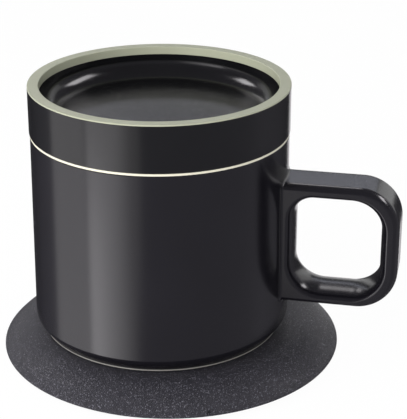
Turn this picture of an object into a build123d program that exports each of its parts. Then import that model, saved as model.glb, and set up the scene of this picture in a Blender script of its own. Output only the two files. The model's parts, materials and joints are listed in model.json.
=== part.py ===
from build123d import *
import math
import os

# A mug warmer: a glazed mug with a dished lid, standing on a thin round charging pad.
# Millimetres, +Z up. The origin is the centre of the pad's foot on the table.
# +X is the way the mug's handle points.

# Charging pad, outside
pad_radius = 60.4
pad_height = 9.6
pad_edge_height = 2.2
pad_edge_round = 0.6
dome_width = 15.9
skirt_base = 1.3
skirt_inset = 1.7
skirt_lip = 3.8
cover_wall = 1.8
roof_slope_run = 6.0
lip_height = 5.2

# Charging pad, underneath
pad_floor_clearance = 0.15
pad_floor_base = 0.8
pad_floor_wall = 1.2
foot_recess = 0.4
anti_slip_inset = 6.0
anti_slip_round = 0.4
rib_height = 0.4
rib_width = 1.5
inner_rib_gap = 1.5
outer_rib_inset = 7.0

# Screws and their bosses
screw_inset = 3.0
screw_count = 3
screw_first_angle = 24.0
screw_radius = 1.0
screw_head_radius = 1.9
screw_head_height = 0.8
screw_roof_gap = 1.4
screw_fit = 0.02
screw_point = 0.5
boss_radius = 2.6
boss_hole_extra = 0.6

# Transmitter under the pad's roof
coil_turns = 6
coil_strip = 1.6
coil_pitch = 2.2
transmitter_inner_radius = 8.0
transmitter_height = 1.4
pad_ferrite_radius = 25.0
pad_ferrite_height = 0.8
sensor_radius = 1.6
sensor_round = 0.4

# Circuit board of the pad
board_ferrite_gap = 1.5
board_inset = 3.4
board_height = 0.8
driver_size = 7.0
driver_height = 0.9
driver_radius = 38.0
driver_angle = 78.0
inductor_size = 6.4
inductor_roof_gap = 1.4
inductor_round = 1.2
inductor_radius = 39.0
inductor_angle = 176.0
capacitor_length = 3.2
capacitor_width = 2.4
capacitor_height = 1.9
capacitor_count = 4
capacitor_radius = 36.0
capacitor_first_angle = 218.0
capacitor_step_angle = 7.0

# Indicator light
indicator_angle = -65.0
light_radius = 0.5
light_fit = 0.03
light_recess = 0.3
light_collar_radius = 0.7
light_collar_length = 0.8
led_depth = 1.4
led_width = 3.0
led_height = 1.0
led_edge_gap = 0.2

# Power inlet
inlet_angle = 114.0
inlet_width = 8.94
inlet_height = 3.26
inlet_length = 7.35
inlet_wall = 0.3
inlet_fit = 0.08
inlet_floor_gap = 0.1
inlet_mouth_inset = 4.8
tongue_width = 6.7
tongue_height = 0.7
tongue_length = 5.0
tongue_root = 1.5
tongue_fit = 0.02
plug_pocket_width = 11.8
plug_pocket_height = 4.4
plug_pocket_depth = 6.0

# Mug, outside. It stands where a hand put it, a little off the pad's centre.
mug_place_x = -3.2
mug_place_y = -1.0
mug_radius_top = 44.7
mug_taper = 0.6
mug_rim_height = 81.6
mug_wall = 3.7
mug_rim_round = 0.5
mug_floor_wall = 4.0
mug_floor_round = 9.0
mug_heel_round = 3.6
mug_heel_inset = 2.7

# Recess under the mug
recess_heel_width = 4.0
foot_standoff = 0.7
base_lap = 0.8
foot_band_inset = 0.1
foot_band_width = 1.3
foot_band_height = 1.1
foot_band_round = 0.3
base_cover_gap = 0.2
base_plug_clearance = 0.2
base_cover_wall = 1.1
foot_ring_inset = 1.6
foot_ring_width = 3.5
foot_ring_sunk = 0.5
foot_ring_round = 0.35

# Receiver and heater inside the recess
receiver_inner_radius = 9.0
receiver_height = 1.2
mug_ferrite_radius = 30.0
mug_ferrite_height = 0.8
receiver_board_radius = 15.0
receiver_board_height = 0.8
rectifier_size = 5.0
rectifier_height = 0.8
rectifier_place = 5.0
heating_plate_clearance = 1.6
heating_plate_height = 0.6
insulation_clearance = 1.0
insulation_height = 2.0
heater_air_gap = 1.2
cutout_length = 10.0
cutout_width = 6.4
cutout_height = 1.8
cutout_clearance = 0.4
cutout_place = 20.0
lead_radius = 0.5
lead_clearance = 0.2
lead_place = 10.0
lead_count = 2

# Handle: a closed loop, its section a rounded strap
handle_stand_off = 39.7
handle_heel_gap = 12.7
handle_rim_gap = 13.8
handle_depth = 18.0
handle_flat = 0.7
handle_low_trim = 0.5
handle_far_extra = 1.1
handle_root_gap = 2.3
handle_outer_round = 14.0
handle_opening_near_round_share = 0.2017
handle_opening_round_share = 0.288
handle_edge_round = 2.1
handle_root_round = 0.5
handle_outline_start_share = 0.72

# Lid
lid_overhang = 0.3
lid_height = 16.5
lid_seal_height = 0.8
lid_seal_inset = 0.15
lid_seal_mouth_gap = 0.2
lid_wall = 2.0
lid_shoulder_wall = 3.4
lid_edge_round = 0.3
dish_rim_width = 3.9
dish_flange_gap = 3.9
dish_round_share = 0.7727
dish_wall = 1.8
rim_flange = 0.5
rim_skirt_depth = 2.5
rim_skirt_wall = 0.8
rim_edge_round = 0.2

# Lid's plug, which goes into the mug's mouth
plug_clearance = 1.0
plug_depth = 5.6
plug_wall = 1.8
plug_round = 1.0
plug_flange_height = 1.6
plug_flange_clearance = 0.1
plug_rib_count = 6
plug_rib_width = 1.4
gasket_reach = 0.7
gasket_height = 1.8
gasket_groove = 0.9
gasket_lift = 2.2

# Heights and radii that follow from the sizes above
seat_radius = pad_radius - dome_width
dome_lean = 2 * math.atan2(pad_height - pad_edge_height - pad_edge_round, dome_width - pad_edge_round)
dome_arc = pad_edge_round + (dome_width - pad_edge_round) / math.sin(dome_lean)
skirt_base_radius = pad_radius - skirt_inset
cover_mouth_radius = skirt_base_radius - skirt_lip
roof_radius = cover_mouth_radius - roof_slope_run
anti_slip_radius = cover_mouth_radius - anti_slip_inset
outer_rib_radius = cover_mouth_radius - outer_rib_inset
screw_circle = outer_rib_radius - screw_inset
board_inner_radius = pad_ferrite_radius + board_ferrite_gap
board_outer_radius = cover_mouth_radius - board_inset
inner_rib_radius = board_inner_radius + inner_rib_gap
led_outer_radius = board_outer_radius - led_edge_gap
inlet_mouth_radius = pad_radius - inlet_mouth_inset
pad_floor_top = pad_floor_base + foot_recess + pad_floor_wall
roof_height = pad_height - cover_wall
board_base = pad_floor_top + rib_height
board_top = board_base + board_height
transmitter_base = roof_height - transmitter_height
inductor_height = roof_height - inductor_roof_gap - board_top
indicator_height = board_base + board_height / 2
inlet_centre_height = pad_floor_top + inlet_floor_gap + inlet_height / 2
screw_head_base = pad_floor_base + foot_recess
screw_length = roof_height - screw_roof_gap - screw_head_height - screw_head_base

mug_radius_bottom = mug_radius_top + mug_taper
mug_mouth_radius = mug_radius_top - mug_wall
mug_heel_radius = mug_radius_bottom - mug_heel_inset
recess_radius = mug_heel_radius - recess_heel_width
foot_band_outer_radius = mug_heel_radius - foot_band_inset
foot_band_inner_radius = foot_band_outer_radius - foot_band_width
base_cover_radius = foot_band_inner_radius - base_cover_gap
foot_ring_outer_radius = recess_radius - foot_ring_inset
foot_ring_inner_radius = foot_ring_outer_radius - foot_ring_width
heating_plate_radius = recess_radius - heating_plate_clearance
insulation_radius = recess_radius - insulation_clearance
mug_underside = pad_height + foot_standoff + base_lap
base_inside = mug_underside + base_cover_wall
receiver_ferrite_base = base_inside + receiver_height
receiver_board_base = receiver_ferrite_base + mug_ferrite_height
receiver_board_top = receiver_board_base + receiver_board_height
insulation_base = receiver_board_top + rectifier_height + heater_air_gap
plate_base = insulation_base + insulation_height
recess_roof = plate_base + heating_plate_height
recess_depth = recess_roof - mug_underside
mug_floor_height = recess_roof + mug_floor_wall

handle_reach = mug_radius_top + handle_stand_off
handle_bottom = mug_underside + handle_heel_gap
handle_top = mug_rim_height - handle_rim_gap
handle_strap = 2 * handle_edge_round + handle_flat
handle_opening_start = mug_radius_bottom + handle_root_gap
handle_opening_end = handle_reach - handle_strap - handle_far_extra
handle_opening_bottom = handle_bottom + handle_strap - handle_low_trim
handle_opening_top = handle_top - handle_strap
handle_opening_height = handle_opening_top - handle_opening_bottom
handle_opening_round_inner = handle_opening_near_round_share * handle_opening_height
handle_opening_round_outer = handle_opening_round_share * handle_opening_height

lid_radius = mug_radius_top + lid_overhang
lid_base = mug_rim_height + lid_seal_height
lid_top = lid_base + lid_height
lid_seal_inner_radius = mug_mouth_radius + lid_seal_mouth_gap
lid_shoulder_radius = lid_radius - lid_shoulder_wall
flange_top = lid_base + plug_flange_height
dish_radius = lid_radius - dish_rim_width
dish_floor = flange_top + dish_flange_gap
dish_round = dish_round_share * (lid_top - dish_floor)
ring_skirt_base = lid_top - rim_skirt_depth
plug_base = lid_base - plug_depth
plug_radius = mug_mouth_radius - plug_clearance
gasket_radius = plug_radius + gasket_reach
cut_overrun = 5.0
touch = 0.001


def turned(*edges):
    """Revolve a closed outline, drawn as (radius, height), about the Z axis."""
    outline = Plane.XZ * make_face(Wire(list(edges)).edges())
    return revolve(outline, Axis.Z)


def turned_polygon(points, rounds=0.0):
    """Revolve a closed polygon whose corners may each be rounded."""
    return turned(*FilletPolyline(*points, radius=rounds, close=True).edges())


def washer(inner_radius, outer_radius, base, height):
    """A flat ring, or a disc where the inner radius is zero."""
    flat = Circle(outer_radius)
    if inner_radius > 0:
        flat -= Circle(inner_radius)
    return Pos(0, 0, base) * extrude(flat, height)


def block(width, depth, base, height, corner=0.0):
    """An upright block on the Z axis, its four upright corners rounded."""
    flat = RectangleRounded(width, depth, corner) if corner > 0 else Rectangle(width, depth)
    return Pos(0, 0, base) * extrude(flat, height)


def at_angle(angle, radius, piece):
    """Put a piece that is drawn on the Z axis out on a circle, turned to face outwards."""
    return Rot(0, 0, angle) * Pos(radius, 0, 0) * piece


def around(count, first_angle, step_angle, radius, piece):
    return [at_angle(first_angle + step_angle * i, radius, piece) for i in range(count)]


def under_mug(piece):
    """Move a piece from the mug's own axis to where the mug stands."""
    return Pos(mug_place_x, mug_place_y, 0) * piece


def save(shape, node):
    export_step(shape, f"parts/{node}.step")


def flat_coil(inner_radius, strip, pitch, turns, base, height):
    """A flat winding of strip. Its half turns swap between two centres half a pitch apart."""
    inner, outer = [], []
    for half in range(2 * turns):
        side = 1 if half % 2 == 0 else -1
        centre = 0 if side > 0 else pitch / 2
        radius = inner_radius + half * pitch / 2
        for edges, r in ((inner, radius), (outer, radius + strip)):
            edges.append(ThreePointArc((centre + side * r, 0), (centre, side * r), (centre - side * r, 0)))
    last = -1 if turns * 2 % 2 == 0 else 1
    end = inner[-1] @ 1
    outer_end = outer[-1] @ 1
    start_cap = Line(inner[0] @ 0, outer[0] @ 0)
    end_cap = Line(end, outer_end)
    strip_face = make_face(Wire([start_cap, *inner, end_cap, *outer]).edges())
    middle = last * pitch / 4
    return Pos(middle, 0, base) * extrude(strip_face, height)


def dome_outline():
    """The pad's top from seat to edge: one wide arc, then a tight arc round the edge."""
    lean = math.degrees(dome_lean)
    dome = JernArc((seat_radius, pad_height), (1, 0), dome_arc, -lean)
    edge = JernArc(dome @ 1, dome % 1, pad_edge_round, -(90 - lean))
    return dome, edge


def dome_radius(height):
    """How far out the pad's domed top reaches at a height."""
    return seat_radius + math.sqrt(dome_arc**2 - (dome_arc - pad_height + height) ** 2)


def pad_top_cover():
    dome, edge = dome_outline()
    seat = (seat_radius, pad_height)
    under = RadiusArc(edge @ 1, (skirt_base_radius, skirt_base), pad_radius - skirt_base_radius)
    if under.center().X < (pad_radius + skirt_base_radius) / 2:
        under = RadiusArc(edge @ 1, (skirt_base_radius, skirt_base), skirt_base_radius - pad_radius)
    inside = Polyline(
        (skirt_base_radius, skirt_base),
        (cover_mouth_radius, skirt_base),
        (cover_mouth_radius, lip_height),
        (roof_radius, roof_height),
        (0, roof_height),
        (0, pad_height),
        seat,
    )
    shell = turned(dome, edge, under, *inside.edges())
    boss = washer(screw_radius + screw_fit, boss_radius, pad_floor_top, roof_height - pad_floor_top)
    step = 360 / screw_count
    shell += around(screw_count, screw_first_angle, step, screw_circle, boss)
    shell -= at_angle(indicator_angle, cover_mouth_radius - cut_overrun, light_bore())
    shell -= inlet_cut()
    return shell


def light_bore():
    """The pin hole for the light, drawn lying along X at the light's height."""
    length = pad_radius - cover_mouth_radius + 2 * cut_overrun
    rod = Cylinder(light_radius + light_fit, length, rotation=(0, 90, 0))
    return Pos(length / 2, 0, indicator_height) * rod


def stadium(width, height, inset=0.0):
    """The flat-sided round-ended outline of the inlet, upright and facing outwards."""
    return SlotOverall(width - 2 * inset, height - 2 * inset)


def along_inlet(outline, start_radius, length):
    """Run an inlet outline outwards from a radius, at the inlet's height and angle."""
    face = Plane(origin=(start_radius, 0, inlet_centre_height), x_dir=(0, 1, 0), z_dir=(1, 0, 0))
    return Rot(0, 0, inlet_angle) * extrude(face * outline, length)


def inlet_room():
    """The room that the inlet's shell takes in the cover, the board and the rib, with its clearance."""
    start = inlet_mouth_radius - inlet_length - inlet_fit
    return along_inlet(stadium(inlet_width, inlet_height, -inlet_fit), start, inlet_length + cut_overrun)


def inlet_cut():
    slot = inlet_room()
    pocket_outline = stadium(plug_pocket_width, plug_pocket_height)
    return slot + along_inlet(pocket_outline, inlet_mouth_radius, plug_pocket_depth)


def pad_bottom_cover():
    radius = cover_mouth_radius - pad_floor_clearance
    tray = washer(0, radius, pad_floor_base, pad_floor_top - pad_floor_base)
    tray -= washer(0, anti_slip_radius, pad_floor_base, foot_recess)
    for rib_radius in (inner_rib_radius, outer_rib_radius):
        tray += washer(rib_radius, rib_radius + rib_width, pad_floor_top, rib_height)
    gap = washer(0, boss_radius + pad_floor_clearance, pad_floor_top, rib_height)
    through = washer(0, screw_radius + screw_fit, pad_floor_base, pad_floor_top)
    head = washer(0, screw_head_radius + screw_fit, pad_floor_base, foot_recess + screw_head_height)
    step = 360 / screw_count
    tray -= around(screw_count, screw_first_angle, step, screw_circle, gap + through + head)
    return tray - inlet_room()


def anti_slip_foot():
    low = (anti_slip_radius, 0)
    high = (anti_slip_radius, pad_floor_base + foot_recess)
    points = [(0, 0), low, high, (0, pad_floor_base + foot_recess)]
    return turned_polygon(points, [0, anti_slip_round, 0, 0])


def pad_screws():
    head = washer(0, screw_head_radius, screw_head_base, screw_head_height)
    shaft = washer(0, screw_radius, screw_head_base + screw_head_height, screw_length)
    screw = head + chamfer(shaft.edges().sort_by(Axis.Z)[-1], screw_point)
    return Compound(around(screw_count, screw_first_angle, 360 / screw_count, screw_circle, screw))


def pad_circuit_board():
    board = washer(board_inner_radius, board_outer_radius, board_base, board_height)
    hole = washer(0, boss_radius + boss_hole_extra, board_base - cut_overrun, board_height + 2 * cut_overrun)
    board -= around(screw_count, screw_first_angle, 360 / screw_count, screw_circle, hole)
    return board - inlet_room() - led_seat()


def led_seat():
    """The notch in the board's edge that the light sits in, at the middle of the board's thickness."""
    start = led_outer_radius - led_depth
    depth = board_outer_radius - start + cut_overrun
    notch = block(depth, led_width, board_base - cut_overrun, board_height + 2 * cut_overrun)
    return at_angle(indicator_angle, start + depth / 2, notch)


def on_board(piece, angle, radius):
    return at_angle(angle, radius, Pos(0, 0, board_top) * piece)


def save_pad():
    save(pad_top_cover(), "pad_top_cover")
    save(pad_bottom_cover(), "pad_bottom_cover")
    save(anti_slip_foot(), "anti_slip_foot")
    save(pad_screws(), "pad_screws")
    save(pad_circuit_board(), "pad_circuit_board")
    coil = flat_coil(
        transmitter_inner_radius, coil_strip, coil_pitch, coil_turns, transmitter_base, transmitter_height
    )
    save(coil, "transmitter_coil")
    ferrite_base = transmitter_base - pad_ferrite_height
    save(washer(0, pad_ferrite_radius, ferrite_base, pad_ferrite_height), "pad_ferrite")
    sensor = [(0, transmitter_base), (sensor_radius, transmitter_base), (sensor_radius, roof_height), (0, roof_height)]
    save(turned_polygon(sensor, [0, sensor_round, sensor_round, 0]), "pad_thermistor")
    save(on_board(block(driver_size, driver_size, 0, driver_height), driver_angle, driver_radius), "driver_chip")
    inductor = block(inductor_size, inductor_size, 0, inductor_height, inductor_round)
    save(on_board(inductor, inductor_angle, inductor_radius), "board_inductor")
    capacitor = Pos(0, 0, board_top) * block(capacitor_length, capacitor_width, 0, capacitor_height)
    capacitors = around(
        capacitor_count, capacitor_first_angle, capacitor_step_angle, capacitor_radius, capacitor
    )
    save(Compound(capacitors), "resonance_capacitors")


def save_indicator():
    led = block(led_depth, led_width, indicator_height - led_height / 2, led_height)
    save(at_angle(indicator_angle, led_outer_radius - led_depth / 2, led), "indicator_led")
    surface = dome_radius(indicator_height) - light_recess
    pipe = lying_rod(light_radius, led_outer_radius, surface, indicator_height)
    collar_end = cover_mouth_radius - light_fit
    collar = lying_rod(light_collar_radius, collar_end - light_collar_length, collar_end, indicator_height)
    save(Rot(0, 0, indicator_angle) * (pipe + collar), "indicator_light_pipe")


def lying_rod(radius, start, end, height):
    face = Plane(origin=(start, 0, height), x_dir=(0, 1, 0), z_dir=(1, 0, 0))
    return extrude(face * Circle(radius), end - start)


def save_inlet():
    start = inlet_mouth_radius - inlet_length
    outside = along_inlet(stadium(inlet_width, inlet_height), start, inlet_length)
    inside = along_inlet(stadium(inlet_width, inlet_height, inlet_wall), start, inlet_length)
    save(outside - inside, "inlet_shell")
    root = along_inlet(stadium(inlet_width, inlet_height, inlet_wall + tongue_fit), start, tongue_root)
    tongue = along_inlet(Rectangle(tongue_width, tongue_height), start + tongue_root, tongue_length)
    save(root + tongue, "inlet_tongue")


def mug_outside():
    """The mug's solid outer form, from its heel to its rim."""
    return turned_polygon(
        [(0, mug_underside), (mug_heel_radius, mug_underside), (mug_radius_bottom, mug_underside + mug_heel_round),
         (mug_radius_top, mug_rim_height), (0, mug_rim_height)],
        [0, mug_heel_round / 2, mug_heel_round, mug_rim_round, 0],
    )


def mug_body():
    inside_top = mug_rim_height + cut_overrun
    inside = turned_polygon(
        [(0, mug_floor_height), (mug_mouth_radius, mug_floor_height), (mug_mouth_radius, inside_top), (0, inside_top)],
        [0, mug_floor_round, 0, 0],
    )
    recess = washer(0, recess_radius, mug_underside, recess_depth)
    return mug_outside() - inside - recess


def handle_face():
    """The loop seen from the side, X from the mug's axis and Z up, less its finger opening."""
    start = handle_outline_start_share * mug_radius_top
    outline = FilletPolyline(
        (start, handle_bottom), (handle_reach, handle_bottom), (handle_reach, handle_top), (start, handle_top),
        radius=[0, handle_outer_round, handle_outer_round, 0], close=True,
    )
    near, far = handle_opening_round_inner, handle_opening_round_outer
    opening = FilletPolyline(
        (handle_opening_start, handle_opening_bottom), (handle_opening_end, handle_opening_bottom),
        (handle_opening_end, handle_opening_top), (handle_opening_start, handle_opening_top),
        radius=[far, far, far, near], close=True,
    )
    return make_face(outline.edges()) - make_face(opening.edges())


def mug_handle():
    loop = extrude(Plane.XZ * handle_face(), handle_depth / 2, both=True)
    start = handle_outline_start_share * mug_radius_top
    rims = [edge for edge in loop.edges() if on_side(edge) and edge.center().X > start + handle_edge_round]
    loop = fillet(rims, handle_edge_round)
    body = mug_outside()
    joined = body + loop
    seam = [edge for edge in joined.edges() if on_mug_side(edge)]
    blended = fillet(seam, handle_root_round)
    return blended - body


def on_side(edge):
    """True for an edge that lies wholly in one of the handle's two flat sides."""
    return all(abs(abs(vertex.Y) - handle_depth / 2) < touch for vertex in edge.vertices())


def mug_side_radius(height):
    low = mug_underside + mug_heel_round
    share = (height - low) / (mug_rim_height - low)
    return mug_radius_bottom + share * (mug_radius_top - mug_radius_bottom)


def on_mug_side(edge):
    """True for an edge where the handle meets the mug's tapered side."""
    for place in (edge @ 0, edge @ 0.5, edge @ 1):
        off = abs(math.hypot(place.X, place.Y) - mug_side_radius(place.Z))
        if off > touch or not handle_bottom - touch < place.Z < handle_top + touch:
            return False
    return True


def save_mug():
    save(under_mug(mug_body()), "mug_body")
    save(under_mug(mug_handle()), "mug_handle")
    band_top = mug_underside
    band = turned_polygon(
        [(foot_band_inner_radius, band_top - foot_band_height), (foot_band_outer_radius, band_top - foot_band_height),
         (foot_band_outer_radius, band_top), (foot_band_inner_radius, band_top)],
        [0, foot_band_round, 0, 0],
    )
    save(under_mug(band), "foot_band")
    save(under_mug(base_cover()), "base_cover")
    ring_top = pad_height + foot_standoff + foot_ring_sunk
    ring = turned_polygon(
        [(foot_ring_inner_radius, pad_height), (foot_ring_outer_radius, pad_height),
         (foot_ring_outer_radius, ring_top), (foot_ring_inner_radius, ring_top)],
        [foot_ring_round, foot_ring_round, 0, 0],
    )
    save(under_mug(ring), "foot_ring")


def base_cover():
    flange = washer(0, base_cover_radius, mug_underside - base_lap, base_lap)
    plug = washer(0, recess_radius - base_plug_clearance, mug_underside, base_cover_wall)
    groove_base = pad_height + foot_standoff
    groove = washer(foot_ring_inner_radius, foot_ring_outer_radius, groove_base, foot_ring_sunk)
    return flange + plug - groove


def save_receiver():
    coil = flat_coil(
        receiver_inner_radius, coil_strip, coil_pitch, coil_turns, base_inside, receiver_height
    )
    save(under_mug(coil), "receiver_coil")
    save(under_mug(washer(0, mug_ferrite_radius, receiver_ferrite_base, mug_ferrite_height)), "mug_ferrite")
    board = washer(0, receiver_board_radius, receiver_board_base, receiver_board_height)
    save(under_mug(board), "receiver_board")
    chip = Pos(0, rectifier_place, 0) * block(rectifier_size, rectifier_size, receiver_board_top, rectifier_height)
    save(under_mug(chip), "rectifier_chip")
    save(under_mug(washer(0, heating_plate_radius, plate_base, heating_plate_height)), "heating_plate")
    cutout_base = plate_base - cutout_height
    cutout = block(cutout_width, cutout_length, cutout_base, cutout_height)
    save(under_mug(Pos(cutout_place, 0, 0) * cutout), "thermal_cutout")
    window = block(cutout_width + 2 * cutout_clearance, cutout_length + 2 * cutout_clearance,
                   insulation_base, insulation_height)
    insulation = washer(0, insulation_radius, insulation_base, insulation_height) - Pos(cutout_place, 0, 0) * window
    lead_hole = washer(0, lead_radius + lead_clearance, insulation_base, insulation_height)
    lead_step = 180 / lead_count
    insulation -= around(lead_count, -lead_step, 2 * lead_step, lead_place, lead_hole)
    save(under_mug(insulation), "insulation_disc")
    lead = washer(0, lead_radius, receiver_board_top, plate_base - receiver_board_top)
    leads = around(lead_count, -lead_step, 2 * lead_step, lead_place, lead)
    save(under_mug(Compound(leads)), "heater_leads")


def lid_shell():
    """A dished cap, open below: outer wall, shoulder for the plug's flange, and the dish."""
    wall_radius = lid_radius - lid_wall
    ledge = lid_top - rim_flange
    outer = turned_polygon(
        [(0, lid_base), (lid_radius, lid_base), (lid_radius, ledge), (0, ledge)],
        [0, lid_edge_round, 0, 0],
    )
    dish = turned_polygon(
        [(0, dish_floor), (dish_radius, dish_floor), (dish_radius, lid_top), (0, lid_top)],
        [0, dish_round, 0, 0],
    )
    rebate = washer(0, dish_radius + rim_skirt_wall, ring_skirt_base, rim_skirt_depth)
    pocket = washer(0, wall_radius, lid_base, plug_flange_height)
    hollow_top = dish_floor - dish_wall
    hollow = washer(0, lid_shoulder_radius - dish_round, lid_base, hollow_top - lid_base)
    chamber = turned_polygon(
        [(0, flange_top), (lid_shoulder_radius, flange_top), (lid_shoulder_radius, flange_top + dish_wall / 2),
         (lid_shoulder_radius - dish_round, hollow_top), (0, hollow_top)],
    )
    return outer - dish - rebate - pocket - hollow - chamber


def lid_rim_ring():
    ledge = lid_top - rim_flange
    skirt = dish_radius + rim_skirt_wall
    return turned_polygon(
        [(dish_radius, ring_skirt_base), (skirt, ring_skirt_base), (skirt, ledge), (lid_radius, ledge),
         (lid_radius, lid_top), (dish_radius, lid_top)],
        [0, 0, 0, 0, rim_edge_round, rim_edge_round],
    )


def lid_plug():
    groove_base = plug_base + gasket_lift
    groove_radius = plug_radius - gasket_groove
    shell = turned_polygon(
        [(0, plug_base), (plug_radius, plug_base), (plug_radius, groove_base), (groove_radius, groove_base),
         (groove_radius, groove_base + gasket_height), (plug_radius, groove_base + gasket_height),
         (plug_radius, lid_base), (lid_radius - lid_wall - plug_flange_clearance, lid_base),
         (lid_radius - lid_wall - plug_flange_clearance, flange_top), (groove_radius - plug_wall, flange_top),
         (groove_radius - plug_wall, plug_base + plug_wall), (0, plug_base + plug_wall)],
        [0, plug_round, 0, 0, 0, 0, 0, 0, 0, 0, 0, 0],
    )
    rib_top = dish_floor - dish_wall
    rib_start = plug_rib_width * 2
    rib_end = lid_shoulder_radius - dish_round
    rib = Pos((rib_start + rib_end) / 2, 0, 0) * block(
        rib_end - rib_start, plug_rib_width, plug_base + plug_wall, rib_top - plug_base - plug_wall
    )
    return shell + around(plug_rib_count, 0, 360 / plug_rib_count, 0, rib)


def plug_gasket():
    """A lip ring in the plug's groove, its outer edge rounded."""
    base = plug_base + gasket_lift
    groove_radius = plug_radius - gasket_groove
    return turned_polygon(
        [(groove_radius, base), (gasket_radius, base), (gasket_radius, base + gasket_height),
         (groove_radius, base + gasket_height)],
        [0, gasket_height / 3, gasket_height / 3, 0],
    )


def save_lid():
    save(under_mug(lid_shell()), "lid_shell")
    save(under_mug(lid_rim_ring()), "lid_rim_ring")
    save(under_mug(lid_plug()), "lid_plug")
    save(under_mug(plug_gasket()), "plug_gasket")
    seal = washer(lid_seal_inner_radius, lid_radius - lid_seal_inset, mug_rim_height, lid_seal_height)
    save(under_mug(seal), "lid_seal")


os.makedirs("parts", exist_ok=True)
save_pad()
save_indicator()
save_inlet()
save_mug()
save_receiver()
save_lid()
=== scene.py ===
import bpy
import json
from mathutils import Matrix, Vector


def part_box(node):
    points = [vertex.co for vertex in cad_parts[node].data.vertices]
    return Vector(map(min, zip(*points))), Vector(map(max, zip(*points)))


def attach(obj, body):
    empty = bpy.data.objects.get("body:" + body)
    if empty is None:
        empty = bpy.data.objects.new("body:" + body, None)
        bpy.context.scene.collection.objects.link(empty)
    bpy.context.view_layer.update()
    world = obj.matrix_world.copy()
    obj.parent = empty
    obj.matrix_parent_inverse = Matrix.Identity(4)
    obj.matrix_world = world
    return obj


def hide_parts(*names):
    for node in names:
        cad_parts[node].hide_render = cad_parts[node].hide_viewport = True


bl_info = {
    "name": "Mug Warmer",
    "version": (1, 0, 0),
    "blender": (4, 5, 0),
    "location": "View3D > Sidebar > Mug Warmer",
    "description": "A warming mug, its dished lid and its charging pad, modelled over the CAD frame",
    "category": "Object",
}

import json
import math

import bmesh
import bpy
from bpy.props import FloatProperty, FloatVectorProperty, IntProperty, PointerProperty
from mathutils import Vector

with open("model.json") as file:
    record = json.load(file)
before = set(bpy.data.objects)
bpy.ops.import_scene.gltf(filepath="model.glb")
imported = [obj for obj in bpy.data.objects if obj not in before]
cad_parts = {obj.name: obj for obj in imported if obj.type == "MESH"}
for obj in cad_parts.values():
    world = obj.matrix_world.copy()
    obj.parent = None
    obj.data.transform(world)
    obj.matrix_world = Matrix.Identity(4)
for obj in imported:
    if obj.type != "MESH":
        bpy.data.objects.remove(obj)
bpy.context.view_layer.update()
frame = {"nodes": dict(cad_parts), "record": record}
MM = 0.001
NEAR = 0.01 * MM
OVERRUN = 1.0 * MM
SMOOTH_ANGLE = math.radians(32)
ROUND_FACETS = ((1.0 * MM, 3), (3.0 * MM, 8), (math.inf, 18))
MUG_LOW, MUG_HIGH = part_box("mug_body")
PAD_AXIS = Vector((0, 0, 0))
MUG_AXIS = Vector(((MUG_LOW.x + MUG_HIGH.x) / 2, (MUG_LOW.y + MUG_HIGH.y) / 2, 0))


def length(name, millimetres, description):
    """A size that the user can change, given here in millimetres."""
    return FloatProperty(
        name=name, description=description, default=millimetres * MM, unit="LENGTH", precision=4
    )


def angle(name, radians, description):
    """An angle that the user can change."""
    return FloatProperty(name=name, description=description, default=radians, subtype="ANGLE")


def glow(name, strength, description):
    """The brightness of something that shines, which the user can change."""
    return FloatProperty(name=name, description=description, default=strength)


class PadSizes(bpy.types.PropertyGroup):
    radius: length("Radius", 60.4, "Of the charging pad, at its widest")
    height: length("Height", 9.6, "Of the pad's flat seat above the table")
    edge_height: length("Edge height", 2.2, "Where the pad is widest")
    edge_round: length("Edge rounding", 0.6, "Of the pad's edge, below its dome")
    dome_width: length("Dome width", 15.9, "From the flat seat out to the edge")
    skirt_inset: length("Skirt inset", 1.7, "From the widest edge in to the skirt's foot")
    skirt_base: length("Skirt base", 1.3, "Height of the skirt's foot above the table")
    lip: length("Skirt lip", 3.8, "Width of the skirt's foot")
    lip_height: length("Lip height", 5.2, "Up to where the wall leans in")
    wall: length("Wall", 1.8, "Thickness of the top cover")
    floor_base: length("Floor base", 0.8, "Underside of the bottom cover")
    floor_top: length("Floor top", 2.4, "Inside of the bottom cover")
    foot_radius: length("Foot radius", 48.9, "Of the silicone disc under the pad")
    foot_height: length("Foot height", 1.2, "Of the silicone disc")
    light_angle: angle("Light angle", math.radians(-65.0), "Round the pad, from the handle")
    light_radius: length("Light hole", 0.53, "Radius of the pin hole that the light shows through")
    light_height: length("Light height", 3.2, "Above the table")
    inlet_angle: angle("Inlet angle", math.radians(114.0), "Round the pad, from the handle")
    inlet_height: length("Inlet height", 4.13, "Of the inlet's middle, above the table")
    inlet_mouth: length("Inlet mouth", 55.6, "Radius at which the inlet's shell starts")


class MugSizes(bpy.types.PropertyGroup):
    rim_radius: length("Rim radius", 44.7, "Outside the mug's rim")
    heel_radius: length("Heel radius", 45.3, "Outside the mug's wall, just above its heel")
    underside_radius: length("Underside radius", 42.6, "Of the underside, inside the heel's rounding")
    mouth_radius: length("Mouth radius", 41.0, "Inside the mug's wall")
    underside: length("Underside", 11.1, "Height of the mug's underside above the table")
    heel_round: length("Heel rounding", 3.2, "Where the wall turns under")
    floor: length("Floor", 23.6, "Height of the mug's inside floor")
    floor_round: length("Floor rounding", 9.0, "Where the inside floor turns up")
    rim: length("Rim", 81.6, "Height of the mug's rim")
    rim_round: length("Rim rounding", 0.5, "Of the rim's two edges")
    recess_radius: length("Recess radius", 38.6, "Of the recess for the heater")
    recess_roof: length("Recess roof", 19.6, "Height of the recess's roof")
    band_inner: length("Band inner radius", 41.2, "Of the pale band round the foot")
    band_outer: length("Band outer radius", 42.5, "Of the pale band round the foot")
    band_height: length("Band height", 1.1, "Of the pale band round the foot")


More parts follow.
